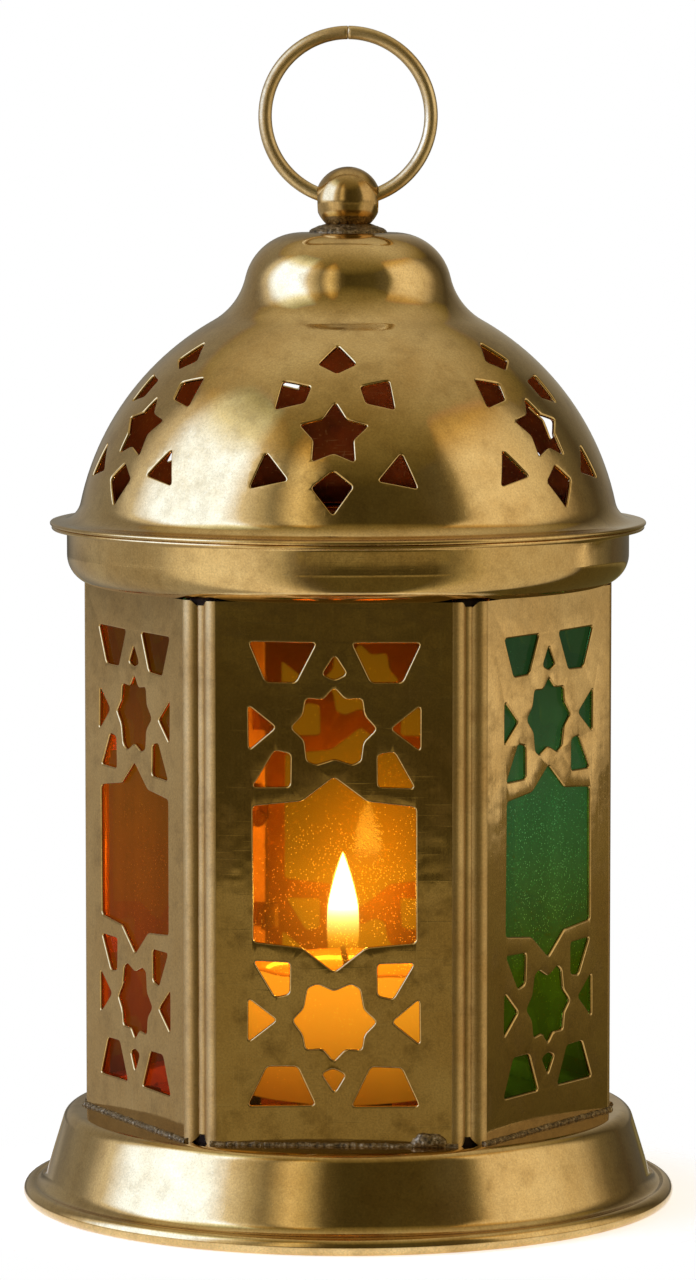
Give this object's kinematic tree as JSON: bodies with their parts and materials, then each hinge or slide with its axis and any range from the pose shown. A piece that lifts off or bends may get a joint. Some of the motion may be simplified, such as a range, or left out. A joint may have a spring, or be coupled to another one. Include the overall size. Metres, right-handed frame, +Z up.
{
  "type": "candle lantern",
  "caption": "Six-sided pierced brass candle lantern with coloured panes, a domed lid, a hinged rear door and a carrying ring.",
  "frame": {"origin": "centre of the foot rim on the surface the lantern stands on", "axes": "+Z up along the lantern's axis, -Y towards the front panel, +Y towards the door, +X to the right seen from the front"},
  "size_m": [0.1586, 0.1586, 0.2841],
  "materials": {
    "brass": "spun and satin, lightly tarnished",
    "solder": "dull lumpy soft solder",
    "amber_glass": "seedy hand-rolled amber",
    "orange_glass": "seedy hand-rolled deep orange",
    "green_glass": "seedy hand-rolled green",
    "wax": "poured paraffin wax, translucent",
    "wick": "braided cotton, burnt at its tip",
    "tinplate": "pressed tinplate"
  },
  "bodies": {
    "lantern": {"base_pan": "brass", "candle_cup": "brass", "collar": "brass", "dome": "brass", "finial_ball": "brass", "finial_washer": "brass", "glass_clips": "brass", "frame_hinge_leaves": "brass", "hinge_pins": "brass", "frame_hinge_rivets": "brass", "cup_rivet": "brass", "panel_front": "brass", "panel_front_right": "brass", "panel_rear_right": "brass", "panel_rear_left": "brass", "panel_front_left": "brass", "base_solder": "solder", "collar_solder": "solder", "corner_solder": "solder", "finial_solder": "solder", "glass_front": "amber_glass", "glass_front_right": "green_glass", "glass_rear_right": "orange_glass", "glass_rear_left": "green_glass", "glass_front_left": "orange_glass"},
    "door": {"door_panel": "brass", "door_glass": "amber_glass", "door_glass_clips": "brass", "door_hinge_leaves": "brass", "door_hinge_rivets": "brass"},
    "latch": {"latch_knob": "brass", "latch_tongue": "brass"},
    "ring": {"carrying_ring": "brass"},
    "candle": {"candle": "wax", "wick": "wick", "wick_sustainer": "tinplate"}
  },
  "joints": [
    {"name": "door_swing", "type": "hinge", "parent": "lantern", "child": "door", "pos_m": [0.0335, 0.05803, 0.086], "axis": [0, 0, -1], "range_deg": [0, 115]},
    {"name": "latch_turn", "type": "hinge", "parent": "door", "child": "latch", "pos_m": [-0.02567, 0.0572, 0.086], "axis": [0, -1, 0], "range_deg": [0, 90]},
    {"name": "ring_swing", "type": "hinge", "parent": "lantern", "child": "ring", "pos_m": [0, 0, 0.2425], "axis": [1, 0, 0], "range_deg": [-90, 90]},
    {"name": "candle_lift", "type": "slide", "parent": "lantern", "child": "candle", "axis": [0, 0, 1], "range_m": [0, 0.025]}
  ]
}
